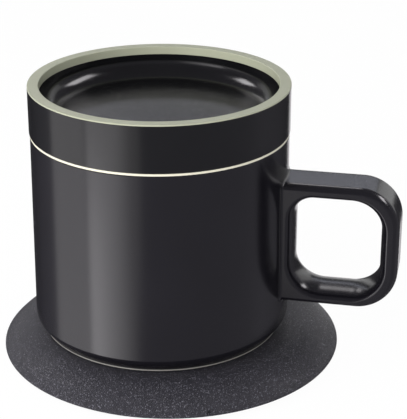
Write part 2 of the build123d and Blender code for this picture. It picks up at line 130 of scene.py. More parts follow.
class HandleSizes(bpy.types.PropertyGroup):
    reach: length("Reach", 84.4, "From the mug's axis to the handle's far side")
    bottom: length("Bottom", 23.8, "Height of the handle's underside")
    top: length("Top", 67.8, "Height of the handle's upper side")
    depth: length("Depth", 18.0, "Width of the strap")
    strap: length("Strap", 5.4, "Thickness of the strap along its top")
    low_strap: length("Low strap", 4.9, "Thickness of the strap along its underside")
    far_strap: length("Far strap", 6.4, "Thickness of the strap down its far side")
    opening_start: length("Opening start", 48.3, "From the mug's axis to the finger gap")
    outer_round: length("Outer rounding", 14.0, "Of the two far corners")
    opening_round: length("Opening rounding", 10.0, "Of three corners of the finger gap")
    near_round: length("Near rounding", 7.0, "Of the upper corner by the mug")
    edge_round: length("Edge rounding", 2.1, "Of the strap's outer long edges, across the strap")
    edge_crown: length("Edge crown", 3.4, "The same edges, along the strap's width")
    gap_round: length("Gap rounding", 2.7, "Of the long edges round the finger gap, across the strap")
    gap_crown: length("Gap crown", 8.6, "The same edges, along the strap's width")
    root_round: length("Root rounding", 0.8, "Where the glaze runs from the handle onto the wall")


class LidSizes(bpy.types.PropertyGroup):
    radius: length("Radius", 45.0, "Of the lid's wall")
    base: length("Base", 82.4, "Height of the lid's lower edge")
    top: length("Top", 98.9, "Height of the lid's top")
    wall: length("Wall", 2.0, "Thickness of the lid's outer wall")
    dish_radius: length("Dish radius", 41.1, "Of the dish's mouth")
    dish_floor: length("Dish floor", 87.9, "Height of the dish's floor")
    dish_round: length("Dish rounding", 7.0, "Where the dish's wall meets its floor")
    rim_thickness: length("Rim thickness", 0.5, "Of the painted ring on top")
    rim_skirt: length("Rim skirt", 2.9, "How far the painted ring goes down into the dish")
    rim_skirt_wall: length("Rim skirt wall", 0.8, "Thickness of the ring's skirt")
    plug_radius: length("Plug radius", 40.0, "Of the plug in the mug's mouth")
    plug_base: length("Plug base", 76.8, "Height of the plug's underside")
    plug_top: length("Plug top", 84.0, "Height of the plug's flange")
    gasket_radius: length("Gasket radius", 40.7, "Of the lip ring round the plug")
    gasket_base: length("Gasket base", 79.0, "Height of the lip ring")
    gasket_height: length("Gasket height", 1.8, "Of the lip ring")


class ModelSettings(bpy.types.PropertyGroup):
    sides: IntProperty(name="Sides", description="Straight sides of a full turn", default=192, min=64)


def deselect():
    bpy.ops.object.select_all(action="DESELECT")


def select_where(piece, kind, wanted):
    """In edit mode, select just the vertices, edges or faces that a test picks."""
    bpy.ops.mesh.select_mode(type=kind)
    bpy.ops.mesh.select_all(action="DESELECT")
    mesh = bmesh.from_edit_mesh(piece.data)
    for element in {"VERT": mesh.verts, "EDGE": mesh.edges, "FACE": mesh.faces}[kind]:
        if wanted(element):
            element.select_set(True)
    bmesh.update_edit_mesh(piece.data)


def face_outwards():
    """Turn all the faces of a closed shape outwards, and leave edit mode."""
    bpy.ops.mesh.select_all(action="SELECT")
    bpy.ops.mesh.normals_make_consistent(inside=False)
    bpy.ops.object.mode_set(mode="OBJECT")


def select_ring(piece, axis, radius, height):
    """Select the ring of edges at a radius from an upright axis and a height."""

    def on_ring(edge):
        return all(
            abs(vert.co.z - height) < NEAR and abs((vert.co.xy - axis.xy).length - radius) < NEAR
            for vert in edge.verts
        )

    select_where(piece, "EDGE", on_ring)


def round_ring(piece, axis, before, corner, after):
    """Round one corner ring of a turned piece to its radius, with more facets on a larger round."""
    radius, height, rounding = corner
    arriving = Vector((radius - before[0], height - before[1]))
    leaving = Vector((after[0] - radius, after[1] - height))
    facets = next(count for below, count in ROUND_FACETS if rounding < below)
    select_ring(piece, axis, radius, height)
    bpy.ops.mesh.bevel(
        offset=rounding * math.tan(arriving.angle(leaving) / 2), offset_type="OFFSET", segments=facets,
        profile=0.5, affect="EDGES", clamp_overlap=False,
    )


def turn_piece(axis, corners):
    """Model a turned piece, as on a wheel, from corners of (radius, height, rounding).

    A ring is drawn up or down and in or out from corner to corner. Where the outline starts
    or ends at radius zero it is closed there, and otherwise its last ring is bridged to its first."""
    deselect()
    rings = [corner for corner in corners if corner[0] > 0]
    radius, height, _ = rings[0]
    bpy.ops.mesh.primitive_circle_add(
        vertices=bpy.context.scene.model.sides, radius=radius, location=(axis.x, axis.y, height)
    )
    piece = bpy.context.object
    bpy.ops.object.transform_apply(location=True, rotation=True, scale=True)
    bpy.ops.object.mode_set(mode="EDIT")
    bpy.ops.mesh.select_mode(type="EDGE")
    bpy.ops.mesh.select_all(action="SELECT")
    for to_radius, to_height, _ in rings[1:]:
        bpy.ops.mesh.extrude_region_move(TRANSFORM_OT_translate={"value": (0, 0, to_height - height)})
        share = to_radius / radius
        bpy.ops.transform.resize(value=(share, share, 1), center_override=(axis.x, axis.y, to_height))
        radius, height = to_radius, to_height
    if len(rings) == len(corners):
        select_where(piece, "EDGE", lambda edge: edge.is_boundary)
        bpy.ops.mesh.bridge_edge_loops()
    for end in (0, -1):
        if corners[end][0] == 0:
            select_ring(piece, axis, rings[end][0], rings[end][1])
            bpy.ops.mesh.edge_face_add()
    for i, corner in enumerate(corners):
        if corner[2] > 0:
            round_ring(piece, axis, corners[i - 1], corner, corners[(i + 1) % len(corners)])
    face_outwards()
    return piece


def apply_modifier(piece, kind, **settings):
    """Add a modifier, set it and apply it."""
    deselect()
    piece.select_set(True)
    bpy.context.view_layer.objects.active = piece
    modifier = piece.modifiers.new(kind.title(), kind)
    for name, value in settings.items():
        setattr(modifier, name, value)
    bpy.ops.object.modifier_apply(modifier=modifier.name)


def cut_away(piece, cutter):
    """Take a cutter's shape out of a piece, then remove the cutter."""
    apply_modifier(piece, "BOOLEAN", operation="DIFFERENCE", solver="EXACT", object=cutter)
    bpy.data.objects.remove(cutter)


def hand_over(piece, name, body, slot, node):
    """Name, smooth and finish a piece, and let it stand for its CAD node on that node's body."""
    piece.name = name
    deselect()
    piece.select_set(True)
    bpy.context.view_layer.objects.active = piece
    bpy.ops.object.shade_smooth_by_angle(angle=SMOOTH_ANGLE)
    apply_modifier(piece, "WEIGHTED_NORMAL", keep_sharp=True)
    piece.data.materials.clear()
    piece.data.materials.append(finish_for(slot))
    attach(piece, body)
    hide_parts(node)
    MODELLED.add(node)


def colour_of(hex_code):
    """A linear colour from an sRGB hex value such as #26252a."""
    values = [int(hex_code[i:i + 2], 16) / 255 for i in (1, 3, 5)]
    return (*[v / 12.92 if v <= 0.04045 else ((v + 0.055) / 1.055) ** 2.4 for v in values], 1.0)


def per_mm(size):
    """The scale that gives a texture features of about this many millimetres."""
    return 1.0 / (size * MM)


def add(tree, kind, inputs=None, **settings):
    """Add a node with its settings. Each of its inputs is given a value, or a socket to link from."""
    node = tree.nodes.new(kind)
    for name, value in settings.items():
        setattr(node, name, value)
    for key, value in (inputs or {}).items():
        if isinstance(value, bpy.types.NodeSocket):
            tree.links.new(value, node.inputs[key])
        else:
            node.inputs[key].default_value = value
    return node


def start_material(name):
    """A new material with an empty tree."""
    material = bpy.data.materials.new(name)
    material.use_nodes = True
    material.node_tree.nodes.clear()
    return material, material.node_tree


def grained(name, dark, light, drift, relief, roughness, skin, grain=None):
    """A material whose colour drifts between two tones and whose relief follows a finer grain.

    The drift and the grain are noises of (size in mm, detail), and with no grain the drift serves for
    both. The relief is (depth in mm, strength). The roughness is one value, or two that follow the
    grain. The skin holds the shader's other values."""
    material, tree = start_material(name)
    place = add(tree, "ShaderNodeTexCoord").outputs["Object"]
    clouds = add(tree, "ShaderNodeTexNoise", {"Vector": place, "Scale": per_mm(drift[0]), "Detail": drift[1]})
    grains = clouds
    if grain:
        grains = add(
            tree, "ShaderNodeTexNoise", {"Vector": place, "Scale": per_mm(grain[0]), "Detail": grain[1]}
        )
    colour = add(
        tree, "ShaderNodeMix", {0: clouds.outputs["Fac"], 6: colour_of(dark), 7: colour_of(light)},
        data_type="RGBA",
    )
    depth, strength = relief
    bump = add(
        tree, "ShaderNodeBump",
        {"Height": grains.outputs["Fac"], "Distance": depth * MM, "Strength": strength},
    )
    if isinstance(roughness, tuple):
        low, high = roughness
        gloss = add(
            tree, "ShaderNodeMapRange", {"Value": grains.outputs["Fac"], "To Min": low, "To Max": high}
        )
        roughness = gloss.outputs["Result"]
    surface = add(
        tree, "ShaderNodeBsdfPrincipled",
        {"Base Color": colour.outputs[2], "Roughness": roughness, "Normal": bump.outputs["Normal"], **skin},
    )
    add(tree, "ShaderNodeOutputMaterial", {"Surface": surface.outputs["BSDF"]})
    return material


def black_glaze():
    """Fired gloss black glaze over stoneware: deep, faintly wavy, pooled a little unevenly."""
    material, tree = start_material("fired black glaze")
    place = add(tree, "ShaderNodeTexCoord").outputs["Object"]
    pools = add(tree, "ShaderNodeTexNoise", {"Vector": place, "Scale": per_mm(26.0), "Detail": 2.0})
    colour = add(
        tree, "ShaderNodeMix", {0: pools.outputs["Fac"], 6: colour_of("#0e0d11"), 7: colour_of("#131217")},
        data_type="RGBA",
    )
    waves = add(tree, "ShaderNodeTexNoise", {"Vector": place, "Scale": per_mm(9.0), "Detail": 2.0})
    skin = add(tree, "ShaderNodeTexNoise", {"Vector": place, "Scale": per_mm(1.1), "Detail": 3.0})
    slow = add(
        tree, "ShaderNodeBump", {"Height": waves.outputs["Fac"], "Distance": 0.02 * MM, "Strength": 0.5}
    )
    relief = add(
        tree, "ShaderNodeBump",
        {"Height": skin.outputs["Fac"], "Distance": 0.002 * MM, "Strength": 0.35,
         "Normal": slow.outputs["Normal"]},
    )
    gloss = add(tree, "ShaderNodeMapRange", {"Value": skin.outputs["Fac"], "To Min": 0.17, "To Max": 0.23})
    surface = add(
        tree, "ShaderNodeBsdfPrincipled",
        {"Base Color": colour.outputs[2], "Roughness": gloss.outputs["Result"],
         "Normal": relief.outputs["Normal"], "IOR": 1.5},
    )
    add(tree, "ShaderNodeOutputMaterial", {"Surface": surface.outputs["BSDF"]})
    return material


def satin_lid_black():
    """Moulded heat-proof plastic, satin on its sides and with a pitted, duller grain on its level faces."""
    material, tree = start_material("satin moulded plastic")
    shape = add(tree, "ShaderNodeTexCoord")
    place = shape.outputs["Object"]
    flow = add(tree, "ShaderNodeTexNoise", {"Vector": place, "Scale": per_mm(14.0), "Detail": 2.0})
    grain = add(tree, "ShaderNodeTexNoise", {"Vector": place, "Scale": per_mm(0.35), "Detail": 3.0})
    pits = add(tree, "ShaderNodeTexNoise", {"Vector": place, "Scale": per_mm(0.28), "Detail": 2.0})
    colour = add(
        tree, "ShaderNodeMix", {0: flow.outputs["Fac"], 6: colour_of("#09090b"), 7: colour_of("#0e0e10")},
        data_type="RGBA",
    )
    upward = add(tree, "ShaderNodeSeparateXYZ", {0: shape.outputs["Normal"]})
    level = add(tree, "ShaderNodeMapRange", {"Value": upward.outputs["Z"], "From Min": 0.9, "To Max": 0.9})
    relief = add(
        tree, "ShaderNodeBump", {"Height": grain.outputs["Fac"], "Distance": 0.012 * MM, "Strength": 0.6}
    )
    pitted = add(
        tree, "ShaderNodeBump",
        {"Height": pits.outputs["Fac"], "Distance": 0.035 * MM, "Strength": level.outputs["Result"],
         "Normal": relief.outputs["Normal"]},
    )
    satin = add(tree, "ShaderNodeMapRange", {"Value": grain.outputs["Fac"], "To Min": 0.15, "To Max": 0.2})
    dull = add(
        tree, "ShaderNodeMath", {0: level.outputs["Result"], 1: 0.1, 2: satin.outputs["Result"]},
        operation="MULTIPLY_ADD",
    )
    surface = add(
        tree, "ShaderNodeBsdfPrincipled",
        {"Base Color": colour.outputs[2], "Roughness": dull.outputs[0], "Normal": pitted.outputs["Normal"],
         "IOR": 1.46},
    )
    add(tree, "ShaderNodeOutputMaterial", {"Surface": surface.outputs["BSDF"]})
    return material


def olive_rim():
    """Painted satin ring, olive-beige, with a very fine orange peel that softens its shine."""
    return grained(
        "olive-beige satin paint", "#9a9c88", "#a3a591", drift=(6.0, 2.0), grain=(0.8, 2.0),
        relief=(0.01, 0.4), roughness=0.45, skin={"IOR": 1.5, "Specular IOR Level": 0.4},
    )


def cream_silicone():
    """Moulded cream silicone of the seal line: matt and soft-looking."""
    return grained(
        "moulded cream silicone", "#c9c5b2", "#d6d2c0", drift=(2.0, 2.0), grain=(0.4, 2.0),
        relief=(0.01, 0.4), roughness=0.5, skin={"IOR": 1.41},
    )


def pale_band():
    """Unglazed pale clay round the foot, its upper part painted dark as painted shade under the heel's
    overhang.
    """
    pale_up_to, heel_shade_from = 10.5 * MM, 10.75 * MM
    material, tree = start_material("pale clay, painted heel shade")
    place = add(tree, "ShaderNodeTexCoord").outputs["Object"]
    stain = add(tree, "ShaderNodeTexNoise", {"Vector": place, "Scale": per_mm(1.2), "Detail": 4.0})
    grog = add(tree, "ShaderNodeTexNoise", {"Vector": place, "Scale": per_mm(0.3), "Detail": 2.0})
    clay = add(
        tree, "ShaderNodeMix", {0: stain.outputs["Fac"], 6: colour_of("#76746f"), 7: colour_of("#918f8a")},
        data_type="RGBA",
    )
    upward = add(tree, "ShaderNodeSeparateXYZ", {0: place})
    painted_heel_shade = add(
        tree, "ShaderNodeMapRange",
        {"Value": upward.outputs["Z"], "From Min": pale_up_to, "From Max": heel_shade_from},
    )
    # Above the pale lower edge the band is painted near black: painted shade under the heel, not a colour of
    # the clay.
    colour = add(
        tree, "ShaderNodeMix", {0: painted_heel_shade.outputs["Result"], 6: clay.outputs[2], 7: colour_of("#19181a")},
        data_type="RGBA",
    )
    relief = add(
        tree, "ShaderNodeBump", {"Height": grog.outputs["Fac"], "Distance": 0.01 * MM, "Strength": 0.5}
    )
    surface = add(
        tree, "ShaderNodeBsdfPrincipled",
        {"Base Color": colour.outputs[2], "Roughness": 0.45, "Normal": relief.outputs["Normal"], "IOR": 1.5},
    )
    add(tree, "ShaderNodeOutputMaterial", {"Surface": surface.outputs["BSDF"]})
    return material


def spark_texture():
    """Spark-eroded charcoal moulding: a fine pebble grain with glossy specks, which are also painted lighter
    as painted glints.

    The grain is 0.3 mm, about that of a fine spark-eroded mould."""
    material, tree = start_material("spark-textured charcoal plastic")
    place = add(tree, "ShaderNodeTexCoord").outputs["Object"]
    cells = add(tree, "ShaderNodeTexVoronoi", {"Vector": place, "Scale": per_mm(0.3)})
    pebble = add(
        tree, "ShaderNodeMapRange",
        {"Value": cells.outputs["Distance"], "From Max": 0.6, "To Min": 1.0, "To Max": 0.0},
    )
    fine = add(tree, "ShaderNodeTexNoise", {"Vector": place, "Scale": per_mm(0.22), "Detail": 3.0})
    cloud = add(tree, "ShaderNodeTexNoise", {"Vector": place, "Scale": per_mm(3.5), "Detail": 3.0})
    chance = add(tree, "ShaderNodeSeparateColor", {0: cells.outputs["Color"]})
    speck_and_painted_glint = add(
        tree, "ShaderNodeMapRange", {"Value": chance.outputs["Red"], "From Min": 0.88, "From Max": 1.0}
    )
    dull = add(
        tree, "ShaderNodeMix", {0: cloud.outputs["Fac"], 6: colour_of("#222126"), 7: colour_of("#2d2c32")},
        data_type="RGBA",
    )
    # The specks are painted lighter than the charcoal: painted glints, added to their real, lower roughness.
    colour = add(
        tree, "ShaderNodeMix", {0: speck_and_painted_glint.outputs["Result"], 6: dull.outputs[2], 7: colour_of("#66656d")},
        data_type="RGBA",
    )
    pebbles = add(
        tree, "ShaderNodeBump", {"Height": pebble.outputs["Result"], "Distance": 0.12 * MM, "Strength": 0.9}
    )
    relief = add(
        tree, "ShaderNodeBump",
        {"Height": fine.outputs["Fac"], "Distance": 0.03 * MM, "Strength": 0.7,
         "Normal": pebbles.outputs["Normal"]},
    )
    gloss = add(
        tree, "ShaderNodeMapRange", {"Value": speck_and_painted_glint.outputs["Result"], "To Min": 0.52, "To Max": 0.15}
    )
    surface = add(
        tree, "ShaderNodeBsdfPrincipled",
        {"Base Color": colour.outputs[2], "Roughness": gloss.outputs["Result"],
         "Normal": relief.outputs["Normal"], "IOR": 1.5},
    )
    add(tree, "ShaderNodeOutputMaterial", {"Surface": surface.outputs["BSDF"]})
    return material


def moulded_black():
    """Plain black moulding of the undersides, lightly etched so that it looks dry."""
    return grained(
        "etched black moulding", "#19191b", "#212124", drift=(10.0, 2.0), grain=(0.4, 3.0),
        relief=(0.02, 0.6), roughness=(0.5, 0.65), skin={"IOR": 1.5},
    )


def dark_silicone():
    """Dark silicone rubber of the feet: matt, and slightly dusty."""
    return grained(
        "dark silicone rubber", "#222224", "#2f2f31", drift=(1.5, 5.0),
        relief=(0.01, 0.5), roughness=(0.6, 0.8), skin={"IOR": 1.41},
    )


def clear_silicone():
    """Milky food-grade silicone of the gasket and wire sleeves."""
    return grained(
        "milky silicone", "#b9b9b2", "#cbcbc4", drift=(2.0, 2.0), grain=(0.5, 2.0),
        relief=(0.01, 0.4), roughness=0.45, skin={"IOR": 1.41},
    )


def light_guide():
    """Clear moulded acrylic of the indicator: it looks dark while the light is off."""
    return grained(
        "clear moulded acrylic", "#1c1d1f", "#26282b", drift=(0.8, 2.0), grain=(0.4, 2.0),
        relief=(0.004, 0.4), roughness=0.12, skin={"IOR": 1.49},
    )


def plated_steel():
    """Nickel-plated drawn steel: bright, its sheen slightly clouded by the plating."""
    return grained(
        "nickel-plated steel", "#b3b2ae", "#c9c8c4", drift=(0.6, 4.0),
        relief=(0.004, 0.5), roughness=(0.22, 0.34), skin={"Metallic": 1.0},
    )


def enamelled_copper():
    """Copper strip under clear enamel, wound flat: warm, with a glassy skin."""
    return grained(
        "enamelled copper strip", "#a5582f", "#bf6e3f", drift=(0.7, 3.0),
        relief=(0.01, 0.5), roughness=(0.25, 0.38),
        skin={"Metallic": 1.0, "Coat Weight": 0.6, "Coat Roughness": 0.1},
    )


def ferrite():
    """Sintered ferrite sheet: dull dark grey with a fine sandy grain."""
    return grained(
        "sintered ferrite", "#2c2d2f", "#414244", drift=(0.3, 5.0),
        relief=(0.02, 0.7), roughness=0.7, skin={"IOR": 1.5},
    )


def solder_mask():
    """Green solder mask over glass-fibre board, with the 4 mm weave just showing."""
    material, tree = start_material("green solder mask")
    place = add(tree, "ShaderNodeTexCoord").outputs["Object"]
    weave = add(
        tree, "ShaderNodeTexWave", {"Vector": place, "Scale": per_mm(4.0), "Distortion": 1.0},
        wave_type="BANDS", bands_direction="DIAGONAL",
    )
    colour = add(
        tree, "ShaderNodeMix", {0: weave.outputs["Fac"], 6: colour_of("#0f4a2a"), 7: colour_of("#16603a")},
        data_type="RGBA",
    )
    relief = add(
        tree, "ShaderNodeBump", {"Height": weave.outputs["Fac"], "Distance": 0.006 * MM, "Strength": 0.4}
    )
    surface = add(
        tree, "ShaderNodeBsdfPrincipled",
        {"Base Color": colour.outputs[2], "Roughness": 0.3, "Normal": relief.outputs["Normal"], "IOR": 1.5},
    )
    add(tree, "ShaderNodeOutputMaterial", {"Surface": surface.outputs["BSDF"]})
    return material


def chip_epoxy():
    """Moulded epoxy of chips and small parts: dull, with a fine grain."""
    return grained(
        "moulded epoxy", "#1a1a1b", "#262627", drift=(0.2, 3.0),
        relief=(0.01, 0.6), roughness=0.6, skin={"IOR": 1.5},
    )


def heat_felt():
    """Needled heat-proof felt under the heater: woolly and quite matt."""
    material, tree = start_material("needled heat-proof felt")
    place = add(tree, "ShaderNodeTexCoord").outputs["Object"]
    fibres = add(
        tree, "ShaderNodeTexNoise",
        {"Vector": place, "Scale": per_mm(0.5), "Detail": 8.0, "Roughness": 0.7},
    )
    colour = add(
        tree, "ShaderNodeMix", {0: fibres.outputs["Fac"], 6: colour_of("#b9b5a8"), 7: colour_of("#dcd8cc")},
        data_type="RGBA",
    )
    relief = add(
        tree, "ShaderNodeBump", {"Height": fibres.outputs["Fac"], "Distance": 0.15 * MM, "Strength": 0.8}
    )
    surface = add(
        tree, "ShaderNodeBsdfPrincipled",
        {"Base Color": colour.outputs[2], "Roughness": 0.95, "Normal": relief.outputs["Normal"],
         "Sheen Weight": 0.3},
    )
    add(tree, "ShaderNodeOutputMaterial", {"Surface": surface.outputs["BSDF"]})
    return material


FINISHES = {
    "black_glaze": black_glaze,
    "lid_black": satin_lid_black,
    "rim_olive": olive_rim,
    "cream_silicone": cream_silicone,
    "clear_silicone": clear_silicone,
    "dark_silicone": dark_silicone,
    "pad_black": spark_texture,
    "pad_base": moulded_black,
    "clay_band": pale_band,
    "copper": enamelled_copper,
    "ferrite": ferrite,
    "board_green": solder_mask,
    "chip_black": chip_epoxy,
    "steel": plated_steel,
    "clear_light": light_guide,
    "felt_white": heat_felt,
}
MADE = {}
MODELLED = set()


def finish_for(slot):
    """The finish of a material slot, made once."""
    if slot not in MADE:
        MADE[slot] = FINISHES[slot]()
    return MADE[slot]


def dome_arc(pad):
    """The radius and the turn of the wide arc over the pad's shoulder."""
    drop = pad.height - pad.edge_height - pad.edge_round
    painted_heel_shade = pad.dome_width - pad.edge_round
    turn = 2 * math.atan2(drop, painted_heel_shade)
    return pad.edge_round + painted_heel_shade / math.sin(turn), turn


def dome_radius(pad, height):
    """How far out the pad's shoulder reaches at a height."""
    arc, _ = dome_arc(pad)
    return pad.radius - pad.dome_width + math.sqrt(arc**2 - (arc - pad.height + height) ** 2)


def dome_corners(pad):
    """The pad's top as rings, from its flat seat over a wide arc and a tight one to its widest edge."""
    dome_steps, edge_steps = 24, 6
    arc, turn = dome_arc(pad)
    seat = pad.radius - pad.dome_width
    rings = []
    for i in range(dome_steps + 1):
        lean = turn * i / dome_steps
        rings.append((seat + arc * math.sin(lean), pad.height - arc * (1 - math.cos(lean)), 0))
    for i in range(1, edge_steps + 1):
        lean = turn + (math.pi / 2 - turn) * i / edge_steps
        rings.append((
            pad.radius - pad.edge_round * (1 - math.sin(lean)),
            pad.edge_height + pad.edge_round * math.cos(lean), 0,
        ))
    return rings


def lying_rod(spoke, radius, height, start, end, far_radius=None):
    """A round bar that lies along a spoke of the pad, wider at its far end where asked."""
    deselect()
    middle = (start + end) / 2
    bpy.ops.mesh.primitive_cone_add(
        vertices=32, radius1=radius, radius2=far_radius or radius, depth=end - start,
        location=(middle * math.cos(spoke), middle * math.sin(spoke), height),
        rotation=(0, math.pi / 2, spoke),
    )
    bpy.ops.object.transform_apply(location=True, rotation=True, scale=True)
    return bpy.context.object


def lying_slot(spoke, width, height, middle_height, start, end):
    """A flat-sided, round-ended bar that lies along a spoke of the pad."""
    nearly_half = 0.499
    deselect()
    bpy.ops.mesh.primitive_plane_add(size=1, location=(0, 0, 0))
    bar = bpy.context.object
    bar.scale = (width, height, 1)
    bpy.ops.object.transform_apply(scale=True)
    bpy.ops.object.mode_set(mode="EDIT")
    bpy.ops.mesh.select_all(action="SELECT")
    bpy.ops.mesh.bevel(offset=height * nearly_half, segments=12, profile=0.5, affect="VERTICES")
    bpy.ops.mesh.extrude_region_move(TRANSFORM_OT_translate={"value": (0, 0, end - start)})
    face_outwards()
    bar.rotation_euler = (math.pi / 2, 0, spoke + math.pi / 2)
    bar.location = (start * math.cos(spoke), start * math.sin(spoke), middle_height)
    bpy.ops.object.transform_apply(location=True, rotation=True)
    return bar


class MUGWARMER_OT_pad_cover(bpy.types.Operator):
    """Model the pad's domed top cover, with its pin hole and its inlet pocket"""

    bl_idname = "mugwarmer.pad_cover"
    bl_label = "Pad cover"

    undercut_share = 0.62
    undercut_height = 0.45 * MM
    foot_edge = 0.2 * MM
    roof_slope_run = 6.0 * MM
    countersink_radius = 1.25 * MM
    countersink_depth = 0.3 * MM
    countersink_rise = 0.6 * MM
    socket_width = 9.1 * MM
    socket_height = 3.42 * MM
    socket_depth = 8.0 * MM
    pocket_width = 11.8 * MM
    pocket_height = 4.4 * MM
    pocket_overrun = 4.0 * MM

    def execute(self, context):
        pad = context.scene.pad
        skirt = pad.radius - pad.skirt_inset
        mouth = skirt - pad.lip
        roof = pad.height - pad.wall
        cover = turn_piece(PAD_AXIS, [
            (0, pad.height, 0),
            *dome_corners(pad),
            (skirt + pad.skirt_inset * self.undercut_share, pad.skirt_base + self.undercut_height, 0),
            (skirt, pad.skirt_base, self.foot_edge),
            (mouth, pad.skirt_base, self.foot_edge),
            (mouth, pad.lip_height, 0),
            (mouth - self.roof_slope_run, roof, 0),
            (0, roof, 0),
        ])
        self.cut_light_hole(cover, pad, mouth)
        self.cut_inlet(cover, pad)
        hand_over(cover, "pad_cover", "pad", "pad_black", "pad_top_cover")
        return {"FINISHED"}

    def cut_light_hole(self, cover, pad, mouth):
        """A pin hole through the shoulder, countersunk outside."""
        surface = dome_radius(pad, pad.light_height)
        spoke, radius, height = pad.light_angle, pad.light_radius, pad.light_height
        cut_away(cover, lying_rod(spoke, radius, height, mouth - OVERRUN, surface + OVERRUN))
        cut_away(cover, lying_rod(
            spoke, radius, height, surface - self.countersink_depth, surface + self.countersink_rise,
            self.countersink_radius,
        ))

    def cut_inlet(self, cover, pad):
        """The slot that holds the inlet's shell, and the wider pocket for the plug outside it."""
        spoke, height, mouth = pad.inlet_angle, pad.inlet_height, pad.inlet_mouth
        cut_away(cover, lying_slot(
            spoke, self.socket_width, self.socket_height, height, mouth - self.socket_depth, mouth + OVERRUN
        ))
        cut_away(cover, lying_slot(
            spoke, self.pocket_width, self.pocket_height, height, mouth, pad.radius + self.pocket_overrun
        ))


class MUGWARMER_OT_pad_underside(bpy.types.Operator):
    """Model the pad's bottom cover and its grooved silicone foot"""

    bl_idname = "mugwarmer.pad_underside"
    bl_label = "Pad underside"

    cover_clearance = 0.15 * MM
    fine_edge = 0.15 * MM
    tray_edge = 0.35 * MM
    foot_edge = 0.4 * MM
    groove_count = 5
    groove_inset = 14.0 * MM
    groove_pitch = 2.4 * MM
    groove_slope = 0.3 * MM
    groove_width = 1.2 * MM
    groove_depth = 0.35 * MM

    def execute(self, context):
        pad = context.scene.pad
        edge = pad.radius - pad.skirt_inset - pad.lip - self.cover_clearance
        tray = turn_piece(PAD_AXIS, [
            (0, pad.foot_height, 0),
            (pad.foot_radius, pad.foot_height, 0),
            (pad.foot_radius, pad.floor_base, self.fine_edge),
            (edge, pad.floor_base, self.tray_edge),
            (edge, pad.floor_top, self.fine_edge),
            (0, pad.floor_top, 0),
        ])
        hand_over(tray, "pad_tray", "pad", "pad_base", "pad_bottom_cover")
        foot = turn_piece(PAD_AXIS, [
            (0, 0, 0),
            *self.grooves(pad),
            (pad.foot_radius, 0, self.foot_edge),
            (pad.foot_radius, pad.foot_height, 0),
            (0, pad.foot_height, 0),
        ])
        hand_over(foot, "grip_foot", "pad", "dark_silicone", "anti_slip_foot")
        return {"FINISHED"}

    def grooves(self, pad):
        """Shallow rings pressed into the silicone, which help it to grip."""
        corners = []
        for i in range(self.groove_count):
            radius = pad.foot_radius - self.groove_inset + self.groove_pitch * i
            corners += [
                (radius, 0, 0),
                (radius + self.groove_slope, self.groove_depth, 0),
                (radius + self.groove_width - self.groove_slope, self.groove_depth, 0),
                (radius + self.groove_width, 0, 0),
            ]
        return corners


class MUGWARMER_OT_mug_body(bpy.types.Operator):
    """Model the mug's wall, heel, floor and heater recess"""

    bl_idname = "mugwarmer.mug_body"
    bl_label = "Mug body"

    recess_edge = 0.3 * MM

    def execute(self, context):
        mug = context.scene.mug
        body = turn_piece(MUG_AXIS, [
            (0, mug.recess_roof, 0),
            (mug.recess_radius, mug.recess_roof, self.recess_edge),
            (mug.recess_radius, mug.underside, self.recess_edge),
            (mug.underside_radius, mug.underside, mug.heel_round / 2),
            (mug.heel_radius, mug.underside + mug.heel_round, mug.heel_round),
            (mug.rim_radius, mug.rim, mug.rim_round),
            (mug.mouth_radius, mug.rim, mug.rim_round),
            (mug.mouth_radius, mug.floor, mug.floor_round),
            (0, mug.floor, 0),
        ])
        hand_over(body, "glazed_mug", "mug", "black_glaze", "mug_body")
        return {"FINISHED"}


class MUGWARMER_OT_mug_foot(bpy.types.Operator):
    """Model the pale band round the foot, the plate that closes the recess, and its foot ring"""

    bl_idname = "mugwarmer.mug_foot"
    bl_label = "Mug foot"

    fine_edge = 0.1 * MM
    band_edge = 0.35 * MM
    plate_edge = 0.25 * MM
    plate_top_edge = 0.2 * MM
    recess_clearance = 0.2 * MM
    ring_width = 3.5 * MM
    ring_sunk = 0.5 * MM
    ring_edge = 0.45 * MM

    def execute(self, context):
        mug = context.scene.mug
        band_base = mug.underside - mug.band_height
        band = turn_piece(MUG_AXIS, [
            (mug.band_inner, band_base, self.fine_edge),
            (mug.band_outer, band_base, self.band_edge),
            (mug.band_outer, mug.underside, 0),
            (mug.band_inner, mug.underside, 0),
        ])
        hand_over(band, "pale_foot_band", "mug", "clay_band", "foot_band")
        cover_low, cover_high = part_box("base_cover")
        ring_low, ring_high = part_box("foot_ring")
        cover_radius = (cover_high.x - cover_low.x) / 2
        plug_radius = mug.recess_radius - self.recess_clearance
        ring_outer = (ring_high.x - ring_low.x) / 2
        ring_inner = ring_outer - self.ring_width
        plate = turn_piece(MUG_AXIS, [
            (0, cover_low.z, 0),
            (ring_inner, cover_low.z, self.fine_edge),
            (ring_inner, cover_low.z + self.ring_sunk, 0),
            (ring_outer, cover_low.z + self.ring_sunk, 0),
            (ring_outer, cover_low.z, self.fine_edge),
            (cover_radius, cover_low.z, self.plate_edge),
            (cover_radius, mug.underside, 0),
            (plug_radius, mug.underside, 0),
            (plug_radius, cover_high.z, self.plate_top_edge),
            (0, cover_high.z, 0),
        ])
        hand_over(plate, "base_plate", "mug", "pad_base", "base_cover")
        ring = turn_piece(MUG_AXIS, [
            (ring_inner, ring_low.z, self.ring_edge),
            (ring_outer, ring_low.z, self.ring_edge),
            (ring_outer, ring_high.z, 0),
            (ring_inner, ring_high.z, 0),
        ])
        hand_over(ring, "soft_foot_ring", "mug", "dark_silicone", "foot_ring")
        return {"FINISHED"}


